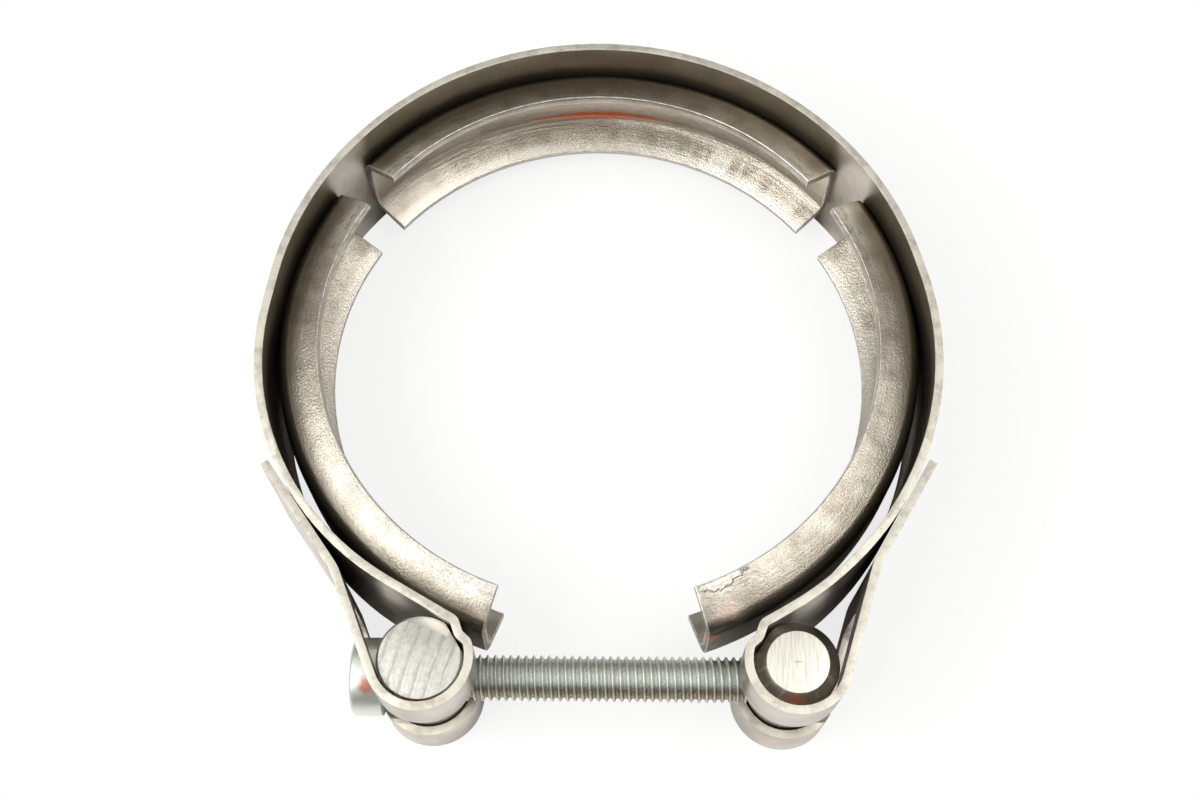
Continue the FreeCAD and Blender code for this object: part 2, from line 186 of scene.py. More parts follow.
class Graph:
    """Node tree of a material or of the world."""

    def __init__(self, owner: Union[str, bpy.types.World]) -> None:
        """Start an empty tree.

        Args:
            owner: the name of a new material, or the world.
        """
        self.owner = bpy.data.materials.new(owner) if isinstance(owner, str) else owner
        self.owner.use_nodes = True
        self.tree = self.owner.node_tree
        self.tree.nodes.clear()

    def node(
        self,
        kind: str,
        settings: Optional[dict[str, Any]] = None,
        inputs: Optional[dict[Any, Any]] = None,
        output: Any = 0,
    ) -> Socket:
        """Add any node.

        Args:
            kind: the node's type.
            settings: properties that are set before its sockets.
            inputs: values or sockets by input name or number.
            output: name or number of the output wanted.

        Returns:
            That output.
        """
        made = self.tree.nodes.new(kind)
        for key, value in (settings or {}).items():
            setattr(made, key, value)
        for key, value in (inputs or {}).items():
            if isinstance(value, Socket):
                self.tree.links.new(value.link, made.inputs[key])
            else:
                made.inputs[key].default_value = value
        return Socket(self, made.outputs[output])

    def position(self) -> Socket:
        """Place on the object, in millimetres."""
        place = self.node("ShaderNodeTexCoord", output="Object")
        return self.vector("SCALE", place, scale=1 / MM)

    def vector(
        self, operation: str, first: Any, second: Any = None, scale: Any = None
    ) -> Socket:
        """Vector maths.

        Args:
            operation: the node's operation.
            first: a vector.
            second: a vector, where the operation takes two.
            scale: a number, where the operation takes one.

        Returns:
            The vector, or the number for a length.
        """
        inputs: dict[Any, Any] = {0: first}
        if second is not None:
            inputs[1] = second
        if scale is not None:
            inputs["Scale"] = scale
        output = "Value" if operation == "LENGTH" else "Vector"
        return self.node("ShaderNodeVectorMath", {"operation": operation}, inputs, output)

    def parts(self, vector: Socket) -> tuple[Socket, Socket, Socket]:
        """The three parts of a vector.

        Args:
            vector: the vector.

        Returns:
            Its X, Y and Z.
        """
        made = self.tree.nodes.new("ShaderNodeSeparateXYZ")
        self.tree.links.new(vector.link, made.inputs[0])
        return tuple(Socket(self, made.outputs[number]) for number in range(3))

    def join(self, x: Any, y: Any, z: Any) -> Socket:
        """A vector from three values.

        Args:
            x: its X, a socket or a number.
            y: its Y.
            z: its Z.

        Returns:
            The vector.
        """
        return self.node("ShaderNodeCombineXYZ", None, {0: x, 1: y, 2: z})

    def noise(
        self, place: Socket, per_mm: float, detail: float = 2.0, rough: float = 0.5
    ) -> Socket:
        """Noise whose patches are about 1 / per_mm millimetres wide.

        Args:
            place: where to read it, in millimetres.
            per_mm: patches per millimetre.
            detail: number of finer layers.
            rough: strength of the finer layers.

        Returns:
            The noise, from 0 to 1 around 0.5.
        """
        inputs = {"Vector": place, "Scale": per_mm, "Detail": detail, "Roughness": rough}
        return self.node("ShaderNodeTexNoise", None, inputs, "Fac")

    def mix(self, share: Any, first: Any, second: Any) -> Socket:
        """Blend of two colours.

        Args:
            share: share of the second colour, from 0 to 1.
            first: a colour.
            second: a colour.

        Returns:
            The blended colour.
        """
        inputs = {0: share, 6: _rgba(first), 7: _rgba(second)}
        return self.node("ShaderNodeMix", {"data_type": "RGBA", "clamp_factor": True}, inputs, 2)

    def blob(self, place: Socket, centre: Point, reach: Point, ragged: float = 0.35) -> Socket:
        """Soft ragged patch around a point.

        Args:
            place: position in millimetres.
            centre: the patch's centre, in millimetres.
            reach: how far it reaches along each axis, in millimetres.
            ragged: how much noise tears its edge.

        Returns:
            1 at its heart, falling to 0 at its edge.
        """
        away = self.vector("SUBTRACT", place, centre)
        away = self.vector("DIVIDE", away, reach)
        distance = self.vector("LENGTH", away)
        torn = self.noise(place, 0.9, 4.0, 0.6)
        return (distance + (torn - 0.5) * (2 * ragged)).ramp(1.0, 0.25)

    def finish(
        self,
        colour: Any,
        roughness: Any,
        metallic: float = 1.0,
        height: Optional[Socket] = None,
        depth: float = 0.0,
    ) -> bpy.types.Material:
        """Close the material with a Principled shader.

        Args:
            colour: base colour.
            roughness: roughness.
            metallic: metallic share.
            height: relief of the surface, from 0 to 1.
            depth: depth of that relief, in metres.

        Returns:
            The material.
        """
        inputs: dict[Any, Any] = {"Metallic": metallic}
        inputs["Base Color"] = _rgba(colour)
        inputs["Roughness"] = roughness
        if height is not None:
            bump = {"Strength": 1.0, "Distance": depth, "Height": height}
            inputs["Normal"] = self.node("ShaderNodeBump", None, bump)
        shader = self.node("ShaderNodeBsdfPrincipled", None, inputs)
        return self.close(shader)

    def close(self, shader: Socket) -> Any:
        """Connect a shader to the output.

        Args:
            shader: the shader.

        Returns:
            The material or the world.
        """
        world = isinstance(self.owner, bpy.types.World)
        out = self.tree.nodes.new("ShaderNodeOutputWorld" if world else "ShaderNodeOutputMaterial")
        self.tree.links.new(shader.link, out.inputs["Surface"])
        return self.owner


def _rgba(colour: Any) -> Any:
    """A colour with its alpha.

    Args:
        colour: a socket or three numbers.

    Returns:
        The socket as it is, or the numbers with an alpha of 1.
    """
    return colour if isinstance(colour, Socket) else (*colour, 1.0)


def span(first: Socket, second: Socket) -> Socket:
    """Distance from an axis.

    Args:
        first: offset from it one way.
        second: offset from it square to that.

    Returns:
        The distance.
    """
    return (first * first + second * second) ** 0.5


def facing(x: Socket, y: Socket, degrees: float) -> tuple[Socket, Socket]:
    """Offsets seen from a direction in the ring's plane.

    Args:
        x: offset along X.
        y: offset along Y.
        degrees: the direction, counted from +X towards +Y.

    Returns:
        The offset ahead, and the offset to the left.
    """
    turn = math.radians(degrees)
    ahead = x * math.cos(turn) + y * math.sin(turn)
    aside = y * math.cos(turn) - x * math.sin(turn)
    return ahead, aside


# ---------------------------------------------------------------------- finishes


@dataclass(frozen=True)
class StainAndLight:
    """A coloured patch at one place on a piece."""

    centre: Point
    reach: Point
    colour: Colour
    strength: float = 0.6


RUST: Colour = (0.62, 0.26, 0.16)
ROSE: Colour = (0.72, 0.45, 0.38)
EMBER: Colour = (0.8, 0.19, 0.06)
OXIDE: Colour = (0.3, 0.09, 0.06)
# Rosy colour of the painted reflected light on the top segment's web.
ROSY_REFLECTION: Colour = (0.86, 0.72, 0.62)
MADDER: Colour = (0.55, 0.17, 0.11)


def lay_stains_and_light(graph: Graph, place: Socket, colour: Any, stains_and_light: Iterable[StainAndLight]) -> Any:
    """Lay coloured patches over a colour; one, on the top segment, is painted reflected light.

    Args:
        graph: the material's graph.
        place: position in millimetres.
        colour: the colour below.
        stains_and_light: the patches.

    Returns:
        The colour with the patches on it.
    """
    for each_mark in stains_and_light:
        patch = graph.blob(place, each_mark.centre, each_mark.reach)
        colour = graph.mix(patch * each_mark.strength, colour, each_mark.colour)
    return colour


@dataclass(frozen=True)
class RolledStrip:
    """Wide faces of the strap: smooth rolled stainless with a faint grain along it."""

    name: str
    shaded_inside: bool = False
    base: Colour = (0.56, 0.53, 0.48)
    clouded: Colour = (0.42, 0.39, 0.34)
    # Colour of the painted shade in the crevice between the strap and the segments.
    crevice_shade: Colour = (0.155, 0.135, 0.1)
    bright: Colour = (0.75, 0.72, 0.69)
    tint: Colour = (0.42, 0.35, 0.3)
    outer_radius: float = 45.9
    # The painted shade is left out at these gaps between the segments, and towards -Y.
    open_gap_angles: tuple[float, ...] = (35.0, 145.0)
    open_gap_reach: tuple[float, float] = (2.6, 5.0)
    unshaded_below: tuple[float, float] = (-40.0, -32.0)
    weld_angles: tuple[float, ...] = (52, 77, 103, 128, 162, 187, 213, 18, -7, -33)
    weld_reach: tuple[float, float] = (1.6, 2.6)
    stains_and_light: tuple[StainAndLight, ...] = (
        StainAndLight((-24.5, -51.5, -6.0), (4.0, 2.5, 5.0), ROSE, 0.35),
        StainAndLight((24.0, -52.5, -7.0), (5.0, 2.0, 4.0), ROSE, 0.25),
    )

    def welds(self, graph: Graph, place: Socket) -> Socket:
        """Spot welds on the strap's outside, as round heat tints.

        Args:
            graph: the material's graph.
            place: position in millimetres.

        Returns:
            1 at the middle of a weld, 0 away from it.
        """
        total: Any = None
        for angle in self.weld_angles:
            turn = math.radians(angle)
            centre = (self.outer_radius * math.cos(turn), self.outer_radius * math.sin(turn), 0.0)
            distance = graph.vector("LENGTH", graph.vector("SUBTRACT", place, centre))
            spot = distance.ramp(self.weld_reach[1], self.weld_reach[0])
            total = spot if total is None else total.at_least(spot)
        x, y, _ = graph.parts(place)
        return total * span(x, y).ramp(self.outer_radius - 0.9, self.outer_radius - 0.4)

    def crevice_shade_mask(self, graph: Graph, place: Socket) -> Socket:
        """Painted shade on the ring's inside, in the crevice behind the segments; left out at the
        open gaps between them and towards -Y.

        Args:
            graph: the material's graph.
            place: position in millimetres.

        Returns:
            1 where shade is painted.
        """
        x, y, _ = graph.parts(place)
        dark = y.ramp(*self.unshaded_below)
        for angle in self.open_gap_angles:
            ahead, aside = facing(x, y, angle)
            in_open_gap = abs(aside).ramp(self.open_gap_reach[1], self.open_gap_reach[0])
            dark = dark * (1.0 - in_open_gap * ahead.ramp(0.0, 10.0))
        return dark

    def material(self) -> bpy.types.Material:
        """Make the material.

        Returns:
            The material.
        """
        graph = Graph(self.name)
        place = graph.position()
        x, y, z = graph.parts(place)
        grain = graph.noise(graph.join(x * 0.25, y * 0.25, z * 9.0), 1.0, 3.0, 0.6)
        cloud = graph.noise(place, 0.16, 3.0, 0.55)
        fine = graph.noise(place, 4.5, 2.0, 0.6)
        colour = graph.mix(cloud.ramp(0.35, 0.7), self.base, self.clouded)
        colour = graph.mix(grain.ramp(0.55, 0.75) * 0.2, colour, self.bright)
        # Painted shade on the ring's inside, in the crevice behind the segments.
        if self.shaded_inside:
            dark = self.crevice_shade_mask(graph, place) * (0.7 + cloud * 0.3)
            colour = graph.mix(dark, colour, self.crevice_shade)
        weld = self.welds(graph, place)
        colour = graph.mix(weld * 0.55, colour, self.tint)
        colour = lay_stains_and_light(graph, place, colour, self.stains_and_light)
        roughness = 0.27 + cloud * 0.12 + grain * 0.08 + weld * 0.12
        height = grain * 0.45 + fine * 0.35 - weld
        return graph.finish(colour, roughness, height=height, depth=0.02 * MM)


@dataclass(frozen=True)
class ShearedEdge:
    """Cut edges of the strap: pale and matt, with small nicks."""

    pale: Colour = (0.7, 0.67, 0.58)
    dull: Colour = (0.5, 0.46, 0.39)
    nick: Colour = (0.36, 0.31, 0.27)

    def material(self) -> bpy.types.Material:
        """Make the material.

        Returns:
            The material.
        """
        graph = Graph("strap_sheared_edge")
        place = graph.position()
        cloud = graph.noise(place, 0.5, 4.0, 0.65)
        speck = graph.noise(place, 3.2, 3.0, 0.6)
        nicks = graph.noise(place, 1.3, 5.0, 0.75)
        pits = graph.noise(place, 6.0, 2.0, 0.6)
        colour = graph.mix(cloud.ramp(0.4, 0.72), self.pale, self.dull)
        colour = graph.mix(speck.ramp(0.62, 0.78) * 0.35, colour, self.dull)
        colour = graph.mix(nicks.ramp(0.6, 0.72) * 0.65, colour, self.nick)
        colour = graph.mix(pits.ramp(0.6, 0.72) * 0.3, colour, self.nick)
        roughness = 0.45 + speck * 0.2
        height = speck * 0.6 - nicks.ramp(0.66, 0.76) * 0.8
        return graph.finish(colour, roughness, metallic=0.85, height=height, depth=0.05 * MM)


@dataclass(frozen=True)
class FormedSheet:
    """V segments: brown-grey formed stainless, frosted, worn pale at the bends and the ends, with
    painted shade next to the strap and painted light in the groove and near the tips.

    Places on a segment are given as (millimetres along it from its middle, radius, height).
    """

    name: str
    middle_angle: float
    stains_and_light: tuple[StainAndLight, ...] = ()
    base: Colour = (0.48, 0.437, 0.365)
    deep: Colour = (0.32, 0.285, 0.23)
    # Pale colour of wear, also used for painted light in the groove, near the far flange's tip and
    # along the edge line.
    worn_pale_and_lit: Colour = (0.74, 0.71, 0.63)
    # Colour of the painted shade on the web's outside, facing the strap.
    crevice_shade: Colour = (0.13, 0.115, 0.09)
    bend_radius: float = 43.2
    bend_height: float = 4.6
    tip_radius: float = 38.6
    half_length: float = 38.5
    peeled: Optional[Point] = None
    peeled_reach: Point = (6.0, 1.3, 2.0)

    def unrolled(self, graph: Graph, place: Socket) -> Socket:
        """Lay the curved segment out straight.

        Args:
            graph: the material's graph.
            place: position in millimetres.

        Returns:
            Millimetres along the segment from its middle, radius and height.
        """
        x, y, z = graph.parts(place)
        ahead, aside = facing(x, y, self.middle_angle)
        return graph.join(aside.angle(ahead) * self.bend_radius, span(x, y), z)

    def material(self) -> bpy.types.Material:
        """Make the material.

        Returns:
            The material.
        """
        graph = Graph(self.name)
        place = graph.position()
        flat = self.unrolled(graph, place)
        along, radius, z = graph.parts(flat)
        level = abs(z)
        cloud = graph.noise(place, 0.22, 4.0, 0.6)
        frost = graph.noise(place, 3.2, 3.0, 0.7)
        streak = graph.noise(graph.join(along * 0.12, radius * 2.2, z * 2.2), 1.0, 4.0, 0.65)
        torn = graph.noise(graph.join(along * 0.5, radius * 1.3, z), 1.0, 5.0, 0.7)
        colour = graph.mix(cloud.ramp(0.35, 0.68), self.base, self.deep)
        colour = graph.mix(streak.ramp(0.55, 0.72) * 0.3, colour, self.deep)
        colour = graph.mix(frost.ramp(0.5, 0.72) * 0.4, colour, self.worn_pale_and_lit)
        # Rubbed: the bends and the near flange's ends; and a thin line along its edge, partly a
        # scratch and partly painted highlight.
        bend = (abs(radius - self.bend_radius) + abs(level - self.bend_height)).ramp(1.6, 0.3)
        ends = abs(along).ramp(self.half_length - 13.0, self.half_length - 4.0)
        tip = radius.ramp(self.tip_radius + 3.4, self.tip_radius + 1.6) * z.ramp(0.0, 2.0)
        scuffed = ends * tip * torn.ramp(0.38, 0.52) * 0.55
        rub = (bend * streak.ramp(0.42, 0.6) * 0.6).at_least(scuffed)
        line = abs(radius - (self.tip_radius + 2.6)).ramp(0.3, 0.05) * 0.35
        colour = graph.mix(rub.at_least(line * streak.ramp(0.5, 0.66)), colour, self.worn_pale_and_lit)
        # Painted shade on the flanges' outer halves, next to the strap; painted reflected light
        # inside the groove.
        flange_shade = radius.ramp(self.bend_radius - 2.4, self.bend_radius) * level.ramp(3.6, 4.4)
        colour = graph.mix(flange_shade * (frost.ramp(0.35, 0.6) * 0.35 + 0.3), colour, self.deep)
        groove_light = level.ramp(4.0, 3.0) * radius.ramp(self.bend_radius + 1.2, self.bend_radius + 0.7)
        colour = graph.mix(groove_light * 0.35, colour, self.worn_pale_and_lit)
        # Painted shade on the back, facing the strap, and a painted highlight along the far
        # flange's lip.
        back_shade = (radius + level * 0.2).ramp(self.bend_radius + 1.1, self.bend_radius + 1.6)
        colour = graph.mix(back_shade * 0.8, colour, self.crevice_shade)
        lip_highlight = radius.ramp(self.tip_radius + 2.2, self.tip_radius + 0.7) * z.ramp(0.0, -2.0)
        colour = graph.mix(lip_highlight * (cloud.ramp(0.3, 0.6) * 0.25 + 0.25), colour, self.worn_pale_and_lit)
        height = frost * 0.9 + streak * 0.5 + torn * rub * 1.5
        if self.peeled is not None:
            skin = graph.blob(flat, self.peeled, self.peeled_reach, 0.55)
            rim = skin.ramp(0.2, 0.45) * skin.ramp(0.75, 0.5)
            colour = graph.mix(rim * 0.4, colour, self.deep)
            colour = graph.mix(skin.ramp(0.5, 0.8) * 0.8, colour, self.worn_pale_and_lit)
            height = height + skin.ramp(0.3, 0.6) * 1.3
        colour = lay_stains_and_light(graph, flat, colour, self.stains_and_light)
        roughness = 0.2 + frost * 0.18 + cloud * 0.06 + rub * 0.12
        return graph.finish(colour, roughness, height=height, depth=0.07 * MM)


@dataclass(frozen=True)
class WornAndLitEdge:
    """Rounded edges of a piece: worn bright, and partly a painted highlight along them."""

    name: str
    bright: Colour = (0.82, 0.78, 0.73)
    dull: Colour = (0.5, 0.46, 0.42)

    def material(self) -> bpy.types.Material:
        """Make the material.

        Returns:
            The material.
        """
        graph = Graph(self.name)
        place = graph.position()
        worn = graph.noise(place, 0.9, 4.0, 0.7)
        speck = graph.noise(place, 4.0, 2.0, 0.6)
        colour = graph.mix(worn.ramp(0.4, 0.62), self.bright, self.dull)
        return graph.finish(colour, 0.3 + speck * 0.18, height=speck, depth=0.02 * MM)


@dataclass(frozen=True)
class SawnBar:
    """Plain trunnion: mottled bar with wavy saw marks across its ends, a smooth land beside
    them, and an oxidised side.
    """

    base: Colour = (0.66, 0.65, 0.6)
    mottle: Colour = (0.5, 0.51, 0.46)
    furrow: Colour = (0.36, 0.355, 0.32)
    ridge: Colour = (0.74, 0.73, 0.68)
    land: Colour = (0.68, 0.655, 0.61)
    mark_angle: float = 15.0
    mark_step: float = 1.6
    centre: Point = (-21.85, -46.95, 0.0)
    land_angle: float = 68.0
    land_reach: float = 3.8
    rim_radius: float = 5.08
    length: float = 20.0

    def material(self) -> bpy.types.Material:
        """Make the material.

        Returns:
            The material.
        """
        graph = Graph("plain_trunnion_sawn_bar")
        place = graph.position()
        x, y, z = graph.parts(place)
        dx = x - self.centre[0]
        dy = y - self.centre[1]
        radius = span(dx, dy)
        across, along = facing(dx, dy, -self.mark_angle)
        sway = graph.noise(graph.join(across * 0.4, along * 0.35, 0.0), 1.0, 3.0, 0.6)
        phase = (across + (sway - 0.5) * 0.8) * (math.tau / self.mark_step)
        fade = graph.noise(graph.join(across * 0.7, along * 0.25, 5.0), 1.0, 2.0)
        groove = phase.sine().ramp(0.35, 1.0) * fade.ramp(0.3, 0.55)
        ridge = phase.sine().ramp(-0.2, -1.0) * fade.ramp(0.3, 0.55)
        fine = graph.noise(graph.join(across * 4.0 + sway * 4.0, along * 0.6, z), 1.0, 3.0, 0.7)
        mottle = graph.noise(place, 1.5, 4.0, 0.7)
        level = abs(z)
        half = self.length / 2
        end = level.ramp(half - 0.3, half - 0.15)
        face = radius.ramp(self.rim_radius + 0.12, self.rim_radius) * level.ramp(9.3, 9.4)
        beyond, _ = facing(dx, dy, self.land_angle)
        land = beyond.ramp(self.land_reach - 0.05, self.land_reach + 0.05) * face
        colour = graph.mix(mottle.ramp(0.4, 0.62) * 0.8, self.base, self.mottle)
        colour = graph.mix(fine.ramp(0.52, 0.7) * 0.35, colour, self.furrow)
        colour = graph.mix(groove * 0.5, colour, self.furrow)
        colour = graph.mix(ridge * 0.4, colour, self.ridge)
        colour = graph.mix(land, colour, self.land)
        low = (dy + radius * 0.82).ramp(0.8, -0.2)
        near_end = level.ramp(8.6, 9.5) * 0.65 + 0.25
        side = graph.mix(low * near_end * mottle.ramp(0.3, 0.5), self.mottle, OXIDE)
        colour = graph.mix(face, side, colour)
        sawn = end * (1.0 - land)
        roughness = 0.34 + sawn * 0.12 + mottle * 0.12
        height = (fine * 0.5 + mottle * 0.6 - groove) * sawn
        return graph.finish(colour, roughness, height=height, depth=0.035 * MM)


@dataclass(frozen=True)
class TurnedBar:
    """Threaded trunnion: a cream face with fine lines inside a dark turned chamfer."""

    face: Colour = (0.79, 0.775, 0.69)
    line: Colour = (0.56, 0.53, 0.45)
    chamfer: Colour = (0.34, 0.31, 0.265)
    glint: Colour = (0.7, 0.65, 0.6)
    centre: Point = (25.15, -46.95, 0.0)
    face_radius: float = 3.9
    length: float = 20.0
    scratch_reach: Point = (0.75, 0.2, 1.0)
    rust_offset: Point = (-0.6, -4.6, 9.3)
    rust_reach: Point = (2.2, 1.1, 1.5)

    def material(self) -> bpy.types.Material:
        """Make the material.

        Returns:
            The material.
        """
        graph = Graph("threaded_trunnion_turned_bar")
        place = graph.position()
        x, y, z = graph.parts(place)
        dx = x - self.centre[0]
        dy = y - self.centre[1]
        radius = span(dx, dy)
        turn = dy.angle(dx)
        half = self.length / 2
        end = abs(z).ramp(half - 0.12, half - 0.03)
        on_face = radius.ramp(self.face_radius + 0.06, self.face_radius) * end
        lines = graph.noise(graph.join(x * 5.0, y * 0.22, 0.0), 1.0, 3.0, 0.6)
        broad = graph.noise(graph.join(x * 1.3, y * 0.12, 4.0), 1.0, 2.0)
        rays = graph.noise(graph.join(turn * 5.0, radius * 0.4, 0.0), 1.0, 3.0, 0.65)
        rings = graph.noise(graph.join(radius * 7.0, z * 7.0, turn * 0.4), 1.0, 2.0)
        ruled = lines.ramp(0.45, 0.62) * 0.6 + broad.ramp(0.55, 0.7) * 0.2
        flat = graph.mix(ruled, self.face, self.line)
        top = (self.centre[0], self.centre[1], half)
        scratch = graph.blob(place, top, self.scratch_reach, 0.3)
        flat = graph.mix(scratch * 0.5, flat, self.chamfer)
        shine = rays.ramp(0.52, 0.7) * 0.5 + rings.ramp(0.5, 0.7) * 0.15
        side = graph.mix(shine, self.chamfer, self.glint)
        rust = tuple(middle + away for middle, away in zip(self.centre, self.rust_offset))
        side = lay_stains_and_light(graph, place, side, (StainAndLight(rust, self.rust_reach, RUST, 0.8),))
        colour = graph.mix(on_face, side, flat)
        roughness = 0.3 + on_face * 0.2 + lines * 0.06
        height = lines * on_face + rings * 0.5 * (1.0 - on_face)
        return graph.finish(colour, roughness, height=height, depth=0.02 * MM)


@dataclass(frozen=True)
class ZincPlate:
    """The screw: flecked blue-grey zinc plate, brown with painted shade on its -Y side, painted
    shade in the thread roots, and pale crests, partly worn and partly painted highlight.
    """

    base: Colour = (0.56, 0.595, 0.555)
    dark: Colour = (0.4, 0.42, 0.375)
    brown: Colour = (0.25, 0.195, 0.13)
    bright: Colour = (0.86, 0.87, 0.8)
    fleck: Colour = (0.26, 0.27, 0.19)
    axis_y: float = -46.95
    root_radii: tuple[float, float] = (2.5, 2.7)
    crest_radii: tuple[float, float] = (2.8, 2.95)
    shank_radii: tuple[float, float] = (3.3, 3.6)
    stains_and_light: tuple[StainAndLight, ...] = (StainAndLight((-28.9, -49.15, 4.2), (1.7, 1.7, 2.4), MADDER, 0.85),)

    def material(self) -> bpy.types.Material:
        """Make the material.

        Returns:
            The material.
        """
        graph = Graph("bolt_zinc_plate")
        place = graph.position()
        _, y, z = graph.parts(place)
        dy = y - self.axis_y
        radius = span(dy, z)
        cloud = graph.noise(place, 0.28, 3.0, 0.6)
        speck = graph.noise(place, 4.0, 3.0, 0.6)
        fleck = graph.noise(place, 3.1, 4.0, 0.7)
        root = radius.ramp(self.root_radii[1], self.root_radii[0])
        crest = radius.ramp(*self.crest_radii)
        shank = radius.ramp(self.shank_radii[1], self.shank_radii[0])
        under = dy.ramp(-1.1, -2.2) * shank
        # Painted shade in the thread's roots.
        colour = graph.mix(root * 0.7, self.base, self.dark)
        # Brown tint with painted shade on the -Y side.
        colour = graph.mix(under * (cloud.ramp(0.2, 0.5) * 0.4 + 0.5), colour, self.brown)
        colour = graph.mix(fleck.ramp(0.52, 0.66) * shank * 0.55, colour, self.fleck)
        # Pale crests: partly wear, partly painted highlight.
        colour = graph.mix(crest * 0.55, colour, self.bright)
        colour = graph.mix(speck.ramp(0.55, 0.66) * 0.6, colour, self.bright)
        colour = lay_stains_and_light(graph, place, colour, self.stains_and_light)
        roughness = 0.36 + cloud * 0.1 + speck * 0.14
        return graph.finish(colour, roughness, metallic=0.95, height=speck, depth=0.03 * MM)


@dataclass(frozen=True)
class PaperFloor:
    """A sheet of white paper under the clamp, which keeps a faint shadow, in a dark room."""

    paper: Colour = (0.93, 0.915, 0.91)
    room: Colour = (0.05, 0.05, 0.05)
    white: Colour = (1.0, 1.0, 1.0)
    fade: tuple[float, float] = (80.0, 128.0)
    whiten: tuple[float, float] = (60.0, 80.0)
    glow: float = 0.81

    def material(self) -> bpy.types.Material:
        """Make the material.

        Returns:
            A material that is white where it is looked at, and whose mirror image is the sheet.
        """
        graph = Graph("white_paper")
        distance = graph.vector("LENGTH", graph.position())
        colour = graph.mix(distance.ramp(*self.fade), self.paper, self.room)
        seen = graph.node("ShaderNodeLightPath", output="Is Camera Ray")
        share = seen * distance.ramp(*self.whiten).at_least(self.glow)
        matt = graph.node("ShaderNodeBsdfDiffuse", None, {"Color": colour})
        light = {"Color": _rgba(self.white), "Strength": 1.0}
        white = graph.node("ShaderNodeEmission", None, light)
        return graph.close(graph.node("ShaderNodeMixShader", None, {0: share, 1: matt, 2: white}))


# ---------------------------------------------------------------------- modelling

MERGE_DISTANCE = 0.002 * MM
FLAT_ANGLE = 0.4


def deselect() -> None:
    """Leave nothing selected and no mode open."""
    if bpy.context.object and bpy.context.object.mode != "OBJECT":
        bpy.ops.object.mode_set(mode="OBJECT")
    bpy.ops.object.select_all(action="DESELECT")


def take(piece: bpy.types.Object) -> bpy.types.Object:
    """Make a piece the only one selected, and active.

    Args:
        piece: the piece.

    Returns:
        The piece.
    """
    deselect()
    piece.select_set(True)
    bpy.context.view_layer.objects.active = piece
    return piece


def settle(piece: bpy.types.Object) -> bpy.types.Object:
    """Put a piece's place into its mesh, so that its object sits at the origin.

    Args:
        piece: the piece.

    Returns:
        The piece.
    """
    take(piece)
    bpy.ops.object.transform_apply(location=True, rotation=True, scale=True)
    return piece


def select_parts(piece: bpy.types.Object, kind: str, wanted: Callable[[Any], bool]) -> None:
    """Select the faces or points that a test picks, and leave the piece in edit mode.

    Args:
        piece: the piece, in object mode.
        kind: FACE or VERT.
        wanted: takes a face or a point and says whether it is selected.
    """
    take(piece)
    bpy.ops.object.mode_set(mode="EDIT")
    bpy.ops.mesh.select_mode(type=kind)
    bpy.ops.mesh.select_all(action="DESELECT")
    bpy.ops.object.mode_set(mode="OBJECT")
    for part in piece.data.polygons if kind == "FACE" else piece.data.vertices:
        part.select = bool(wanted(part))
    bpy.ops.object.mode_set(mode="EDIT")


def bevelled(
    piece: bpy.types.Object, width: float, segments: int, angle: float, slot: int = -1
) -> None:
    """Round a piece's edges and apply it.

    Args:
        piece: the piece.
        width: width of the rounding, in metres.
        segments: faces across it.
        angle: edges sharper than this are rounded, in degrees.
        slot: material slot of the new faces, or -1 for their neighbours' own.
    """
    take(piece)
    rounding = piece.modifiers.new("edge_rounding", "BEVEL")
    rounding.width = width
    rounding.segments = segments
    rounding.limit_method = "ANGLE"
    rounding.angle_limit = math.radians(angle)
    rounding.use_clamp_overlap = True
    rounding.material = slot
    bpy.ops.object.modifier_apply(modifier=rounding.name)


def smooth(piece: bpy.types.Object, angle: float = 32.0) -> None:
    """Shade a piece smoothly.

    Args:
        piece: the piece.
        angle: edges sharper than this stay sharp, in degrees.
    """
    take(piece)
    bpy.ops.object.shade_smooth_by_angle(angle=math.radians(angle))


def finished_copy(node: bpy.types.Object, name: str) -> bpy.types.Object:
    """Copy one of the solids as a clean mesh of whole faces.

    Args:
        node: the solid's object.
        name: name of the copy.

    Returns:
        The copy, with its faces merged and no materials.
    """
    copy = bpy.data.objects.new(name, node.data.copy())
    bpy.context.scene.collection.objects.link(copy)
    copy.data.materials.clear()
    take(copy)
    if copy.data.has_custom_normals:
        bpy.ops.mesh.customdata_custom_splitnormals_clear()
    bpy.ops.object.mode_set(mode="EDIT")
    bpy.ops.mesh.select_all(action="SELECT")
    bpy.ops.mesh.remove_doubles(threshold=MERGE_DISTANCE)
    bpy.ops.mesh.dissolve_limited(angle_limit=math.radians(FLAT_ANGLE))
    bpy.ops.object.mode_set(mode="OBJECT")
    return copy


def dress(piece: bpy.types.Object, body: str, replaced: str) -> None:
    """Say what a finished piece rides on and stands for.

    Args:
        piece: the piece.
        body: the body it moves with.
        replaced: the solid it stands for.
    """
    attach(piece, body)
    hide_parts(replaced)
    log.info("%s: %d faces on %s", piece.name, len(piece.data.polygons), body)


# ------------------------------------------------------------------ sub-assemblies


